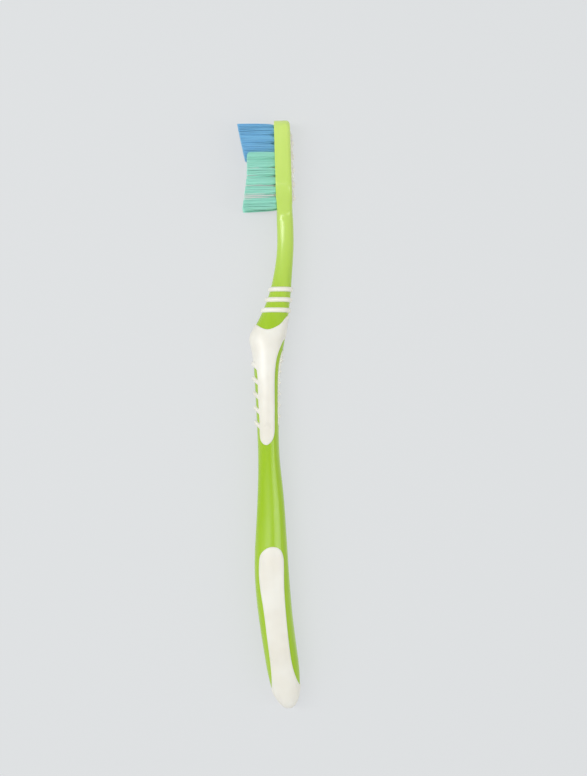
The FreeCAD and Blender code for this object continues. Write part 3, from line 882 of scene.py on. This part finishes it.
class TOOTHBRUSH_OT_handle(bpy.types.Operator):
    """Build the hard handle and the head as one smooth moulding"""
    bl_idname = "toothbrush.handle"
    bl_label = "Handle and Head"

    def execute(self, context):
        handle_rows = HANDLE[::CURVE_ROWS // HANDLE_ROWS, 0]
        head_rows = np.linspace(HEAD_END, TIP_CENTRE, HEAD_ROWS)
        body = sections(np.concatenate([handle_rows[handle_rows < HEAD_END], head_rows]), HALF_RING)
        angles = np.linspace(math.pi / 2, -math.pi / 2, TIP_COLUMNS)
        x, out = plate_half_ring(tip_reach(angles), HALF_RING)
        x, along = lean(x, TIP_CENTRE + out * np.cos(angles)[:, None])
        tip = np.stack([x, along, out * np.sin(angles)[:, None]], -1)
        parts = [grid_part(body), grid_part(tip, closed=False)]
        colours = context.scene.toothbrush_colours
        plastic = the_material("moulded_lime_polypropylene", lime_polypropylene, colours)
        welded_piece("handle_moulding", parts, plastic, ["handle_body"])
        return {"FINISHED"}


class TOOTHBRUSH_OT_grips(bpy.types.Operator):
    """Build the thumb grip with its ribs, the back strip with its bumps and the tail grip"""
    bl_idname = "toothbrush.grips"
    bl_label = "Soft Grips"

    def execute(self, context):
        sizes = context.scene.toothbrush_sizes
        proud = sizes.skin / MM
        thumb = np.vstack([
            grip_outline(REST_TOP, GRIP_LENGTH, THUMB_TOP_SHARES),
            grip_outline(REST_TOP, GRIP_LENGTH, THUMB_SIDE_SHARES),
        ])
        strip = grip_outline(REST_TOP, GRIP_LENGTH, STRIP_SHARES)
        # The tail grip's line is closed well below the tail end, so that the whole end lies inside it
        tail = grip_outline(TAIL_TOP, TAIL_LENGTH, TAIL_GRIP_SHARES)
        tail = np.vstack([tail, tail[[-1, 0]] * (1, 0) - (0, TAIL_SIZE[0])])

        def thumb_rise(grid, normals):
            rise = skin_rise(grid, normals, thumb, proud)
            for k in range(RIB_COUNT):
                rise = np.maximum(rise, rib_rise(grid, k, sizes.rib / MM, proud))
            return rise

        def strip_rise(grid, normals):
            return bump_rise(grid, skin_rise(grid, normals, strip, proud), sizes.bump / MM, proud)

        def tail_rise(grid, normals):
            return skin_rise(grid, normals, tail, proud)

        soft_skin("thumb_grip_skin", rows_over(REST_TOP, GRIP_LENGTH, THUMB_SPAN_SHARES),
                  GRIP_HALF_RING, thumb_rise, "thumb_grip")
        soft_skin("back_strip_skin", rows_over(REST_TOP, GRIP_LENGTH, STRIP_SPAN_SHARES),
                  STRIP_HALF_RING, strip_rise, "back_grip_strip")
        tail_rows = HANDLE[::CURVE_ROWS // TAIL_SKIN_ROWS, 0]
        tail_rows = tail_rows[tail_rows < TAIL_TOP - TAIL_SKIN_START_SHARE * TAIL_LENGTH]
        soft_skin("tail_grip_skin", tail_rows, GRIP_HALF_RING, tail_rise, "tail_grip")
        return {"FINISHED"}


class TOOTHBRUSH_OT_rings(bpy.types.Operator):
    """Build the soft rings round the neck"""
    bl_idname = "toothbrush.rings"
    bl_label = "Neck Rings"

    def execute(self, context):
        radius = context.scene.toothbrush_sizes.ring / MM
        turn = np.linspace(0, 2 * math.pi, CORD_SIDES + 1)
        for index, name in enumerate(("upper", "middle", "lower")):
            y = REST_TOP + RING_FIRST - index * RING_PITCH
            grid = sections(y + radius * np.sin(turn), CORD_HALF_RING)
            normals = outward(sections(y + radius * np.array([-1, 0, 1]), CORD_HALF_RING))[1]
            grid = grid + normals * (radius * np.cos(turn) - RING_SINK)[:, None, None]
            soft_piece(f"neck_ring_{name}_cord", [grid_part(grid)], f"neck_ring_{name}")
        return {"FINISHED"}


def pad_plan():
    """The pad's outline from its middle: a side arc and an end circle, and both again turned round."""
    radius = PAD_SIDE_RADIUS
    limit = math.atan2(PAD_REACH, radius - PAD_HALF)
    side = np.linspace(-limit, limit, PAD_SIDE_POINTS)
    tip = np.linspace(limit, math.pi - limit, PAD_TIP_POINTS)[1:-1]
    side_arc = np.stack([radius * np.sin(side), PAD_HALF - radius + radius * np.cos(side)], -1)
    tip_arc = np.stack([PAD_REACH + PAD_TIP_RADIUS * np.sin(tip), PAD_TIP_RADIUS * np.cos(tip)], -1)
    return np.concatenate([side_arc, tip_arc, -side_arc, -tip_arc])


def pad_plate():
    """The pad's plate: its outline carried straight up, over a quarter circle, and flat to its spine."""
    outline = pad_plan()
    spine = np.stack([np.clip(outline[:, 0], -PAD_REACH, PAD_REACH), np.zeros(len(outline))], -1)
    width = np.linalg.norm(spine - outline, axis=1)
    turn = np.linspace(0, math.pi / 2, PAD_ROUND_ROWS)
    rounding = PAD_ROUND * (1 - np.cos(turn))[:, None] + 0 * width
    flat = PAD_ROUND + np.linspace(0, 1, PAD_FLAT_ROWS + 1)[1:, None] * (width - PAD_ROUND)
    inset = np.concatenate([[width, 0 * width], rounding, flat])
    top = PAD_PROUD * np.concatenate([np.sin(turn), np.ones(PAD_FLAT_ROWS)])
    height = np.concatenate([[-PAD_ROOT, -PAD_ROOT], top])
    plan = outline + (inset / width)[..., None] * (spine - outline)
    x = HEAD_THICKNESS + np.broadcast_to(height[:, None], inset.shape)
    x, along = lean(x, PAD_TOP - PAD_LENGTH / 2 + plan[..., 0])
    return grid_part(np.stack([x, along, plan[..., 1]], -1))


def nub(y, z, radius, height, **_):
    """A round nub: radius times cos, height times sin, of an angle from inside the pad to the crown."""
    lift = np.linspace(-math.pi / 2, math.pi / 2, NUB_ROWS)[:, None]
    turn = np.linspace(0, 2 * math.pi, NUB_SIDES + 1)[None, :-1]
    out = radius * np.cos(lift)
    x = HEAD_THICKNESS + PAD_PROUD + np.where(lift < 0, PAD_PROUD, height) * np.sin(lift)
    x, along = lean(np.broadcast_to(x, (NUB_ROWS, NUB_SIDES)), y + out * np.cos(turn))
    return grid_part(np.stack([x, along, z + out * np.sin(turn)], -1))


class TOOTHBRUSH_OT_pad(bpy.types.Operator):
    """Build the soft pad on the back of the head with its nubs"""
    bl_idname = "toothbrush.pad"
    bl_label = "Head Pad"

    def execute(self, context):
        parts = [pad_plate()]
        for k in range(NUBS_IN_A_ROW):
            y = PAD_TOP - MIDDLE_NUB["first"] - k * NUB_PITCH
            parts.append(nub(y, 0, **MIDDLE_NUB))
            y = PAD_TOP - EDGE_NUB["first"] - k * NUB_PITCH
            run = y - PAD_TOP + PAD_LENGTH / 2
            edge = PAD_HALF - PAD_SIDE_RADIUS + math.sqrt(PAD_SIDE_RADIUS**2 - run**2)
            z = edge - EDGE_NUB["margin"]
            parts += [nub(y, z, **EDGE_NUB), nub(y, -z, **EDGE_NUB)]
        soft_piece("head_pad_skin", parts, "head_back_pad")
        return {"FINISHED"}


def tuft_places():
    """Node name, kind, Y and Z of every tuft."""
    rows = {
        "edge": [(kind, share, reach * EDGE_REACH)
                 for kind, pairs in EDGE_SHARES.items() for share, reach in pairs],
        "middle": [(kind, share, MIDDLE_REACH)
                   for kind, shares in MIDDLE_SHARES.items() for share in shares],
    }
    places = []
    for side, sign in (("left", 1), ("right", -1)):
        for row, tufts in rows.items():
            for number, (kind, share, z) in enumerate(tufts, start=1):
                node = f"tuft_{row}_{side}_{number:02d}_{kind}"
                places.append((node, kind, FIELD_START - share * FIELD_LENGTH, sign * z))
    return places


def trim_height(kind, y):
    """Height of the trimmed tips above the head's face at Y: straight cuts, and a quarter circle where
    the pale block steps down from the blue one."""
    blue_end = FIELD_START - BLUE_LENGTH
    if kind == "blue":
        return np.interp(y, (blue_end, FIELD_START), BLUE_TRIM[::-1])
    corner = FIELD_START - EDGE_SHARES["teal"][0][0] * FIELD_LENGTH
    past = np.clip(y - corner, 0, PALE_CORNER_RADIUS)
    rounding = PALE_CORNER_RADIUS - np.sqrt(PALE_CORNER_RADIUS**2 - past**2)
    cuts = (FIELD_END, blue_end - PALE_FLAT_LENGTH, blue_end)
    return np.interp(y, cuts, PALE_TRIM[::-1]) - rounding


def filament_bundle(kind, y, z, spread, radius, count, random):
    """Filaments of one tuft. Their roots lie on a sunflower spiral in the hole, r = R sqrt(i / n) at
    turns of the golden angle. Above the head each spreads by a power of its height, fast at first, to
    its rounded tip. The tips fill a shape between an ellipse and a rectangle, which may drift
    outwards. Each filament is a six-sided tube. Returns points, quads and the tone at each point."""
    i = np.arange(count)
    spiral = i * math.pi * (3 - math.sqrt(5)) + random.uniform(0, 2 * math.pi)
    disc = np.stack([np.cos(spiral), np.sin(spiral)], -1) * np.sqrt((i + 0.5) / count)[:, None]
    root = disc * (HOLE_RADIUS - radius)
    square = disc * np.linalg.norm(disc, axis=-1, keepdims=True) / np.abs(disc).max(-1, keepdims=True)
    tip = (disc + spread["square_share"] * (square - disc)) * (spread["along"], spread["aside"])
    tip += random.normal(0, STRAY, (count, 2))
    tip[:, 1] += math.copysign(spread["drift"], z)
    length = trim_height(kind, y + tip[:, 0]) + random.normal(0, TRIM_SCATTER, count)
    t, thick = np.array(FILAMENT_SHARES).T
    x = TUFT_DEPTH - t * (TUFT_DEPTH + length)[:, None]
    bend = np.clip((t - STRAIGHT_SHARE) / (1 - STRAIGHT_SHARE), 0, 1)**SPREAD_POWER
    centre = root[:, None] + bend[:, None] * (tip - root)[:, None]
    turn = np.arange(FILAMENT_SIDES) * 2 * math.pi / FILAMENT_SIDES
    circle = np.stack([np.cos(turn), np.sin(turn)], -1) * radius
    rim = centre[:, :, None] + thick[:, None, None] * circle
    x, along = lean(np.broadcast_to(x[:, :, None], rim.shape[:3]), y + rim[..., 0])
    points = np.stack([x, along, z + rim[..., 1]], -1)
    cap = np.array(FILAMENT_CAP)
    last_ring = (len(t) - 1) * FILAMENT_SIDES
    tube = np.concatenate([grid_faces(len(t), FILAMENT_SIDES), cap[:, ::-1], cap + last_ring])
    quads = (tube + (i * len(t) * FILAMENT_SIDES)[:, None, None]).reshape(-1, 4)
    # A random tone for each filament, plus painted light and shade: the tone rises along the filament,
    # so its tip is painted paler than its root
    tone = random.normal(TONE_MIDDLE, TONE_SCATTER, count)[:, None] + TIP_PAINTED_LIGHT_RISE * (t - 0.5)
    return points.reshape(-1, 3), quads, np.repeat(np.clip(tone, 0, 1), FILAMENT_SIDES)


class TOOTHBRUSH_OT_tufts(bpy.types.Operator):
    """Build every tuft from single filaments"""
    bl_idname = "toothbrush.tufts"
    bl_label = "Bristle Tufts"

    def execute(self, context):
        sizes = context.scene.toothbrush_sizes
        random = np.random.default_rng(SEED)
        for node, kind, y, z in tuft_places():
            tint = getattr(context.scene.toothbrush_colours, kind)[:]
            nylon = the_material(f"drawn_{kind}_nylon", drawn_nylon, tint, DARKEST_SHARES[kind])
            spread = EDGE_TIP if "edge" in node else MIDDLE_TIP
            points, quads, tone = filament_bundle(
                kind, y, z, spread, sizes.filament / MM, sizes.filaments, random)
            piece = in_frame(f"{node}_filaments", points, quads, nylon, [node])
            piece.data.attributes.new("tone", "FLOAT", "POINT").data.foreach_set("value", tone)
        return {"FINISHED"}


class TOOTHBRUSH_OT_anchors(bpy.types.Operator):
    """Give the anchor plates their metal"""
    bl_idname = "toothbrush.anchors"
    bl_label = "Tuft Anchors"

    def execute(self, context):
        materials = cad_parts["tuft_anchors"].data.materials
        materials.clear()
        materials.append(the_material("stamped_anchor_brass", stamped_brass))
        return {"FINISHED"}


# Stage

def soft_lamp(name, place, size, power):
    """A rectangular soft lamp that looks at the middle of the brush, its long side along it."""
    lamp = bpy.data.lights.new(name, "AREA")
    lamp.shape = "RECTANGLE"
    lamp.size, lamp.size_y = size
    lamp.energy = power
    piece = new_object(name, lamp)
    offset = Vector(place)
    piece.location = (CAD_BOX[0] + CAD_BOX[1]) / 2 + offset
    piece.rotation_euler = (-offset).to_track_quat("-Z", "Y").to_euler()


class TOOTHBRUSH_OT_stage(bpy.types.Operator):
    """Set the floor, the lamps and the camera straight above the brush"""
    bl_idname = "toothbrush.stage"
    bl_label = "Stage"

    def execute(self, context):
        scene = context.scene
        corners = [(-1, -1, 0), (1, -1, 0), (1, 1, 0), (-1, 1, 0)]
        mesh = bpy.data.meshes.new("floor")
        mesh.from_pydata((np.array(corners) * FLOOR_REACH).tolist(), [], [(0, 1, 2, 3)])
        mesh.materials.append(matt_pale_paper())
        floor = new_object("floor", mesh)
        for lamp in LAMPS:
            soft_lamp(*lamp)
        scene.world = studio_world()
        camera = bpy.data.cameras.new("camera")
        camera.sensor_width = SENSOR
        camera.lens = SENSOR * CAMERA_HEIGHT * PIXELS_PER_MM / PICTURE[1]
        view = new_object("camera", camera)
        x = (PICTURE[0] / 2 - FACE_PIXEL) / PIXELS_PER_MM
        y = (TAIL_END_PIXEL - PICTURE[1] / 2) / PIXELS_PER_MM
        view.location = ((np.array([x, y, CAMERA_HEIGHT]) + SHIFT) * MM).tolist()
        scene.camera = view
        scene.view_settings.view_transform = "Standard"
        return {"FINISHED"}


STEPS = (
    TOOTHBRUSH_OT_handle,
    TOOTHBRUSH_OT_grips,
    TOOTHBRUSH_OT_rings,
    TOOTHBRUSH_OT_pad,
    TOOTHBRUSH_OT_tufts,
    TOOTHBRUSH_OT_anchors,
    TOOTHBRUSH_OT_stage,
)


class TOOTHBRUSH_PT_panel(bpy.types.Panel):
    """The toothbrush's settings and the steps that build it"""
    bl_label = "Manual Toothbrush"
    bl_idname = "TOOTHBRUSH_PT_panel"
    bl_space_type = "VIEW_3D"
    bl_region_type = "UI"
    bl_category = "Toothbrush"

    def draw(self, context):
        for group in (context.scene.toothbrush_sizes, context.scene.toothbrush_colours):
            box = self.layout.box()
            for name in group.__annotations__:
                box.prop(group, name)
        for step in STEPS:
            self.layout.operator(step.bl_idname)


CLASSES = (ToothbrushSizes, ToothbrushColours, *STEPS, TOOTHBRUSH_PT_panel)


def register():
    """Registers the classes and hangs the settings on the scene."""
    for part in CLASSES:
        bpy.utils.register_class(part)
    bpy.types.Scene.toothbrush_sizes = bpy.props.PointerProperty(type=ToothbrushSizes)
    bpy.types.Scene.toothbrush_colours = bpy.props.PointerProperty(type=ToothbrushColours)


def unregister():
    """Takes the settings and the classes away again."""
    del bpy.types.Scene.toothbrush_colours
    del bpy.types.Scene.toothbrush_sizes
    for part in reversed(CLASSES):
        bpy.utils.unregister_class(part)


def main():
    """Registers the add-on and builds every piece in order."""
    register()
    bpy.ops.toothbrush.handle()
    bpy.ops.toothbrush.grips()
    bpy.ops.toothbrush.rings()
    bpy.ops.toothbrush.pad()
    bpy.ops.toothbrush.tufts()
    bpy.ops.toothbrush.anchors()
    bpy.ops.toothbrush.stage()


if __name__ == "__main__":
    main()
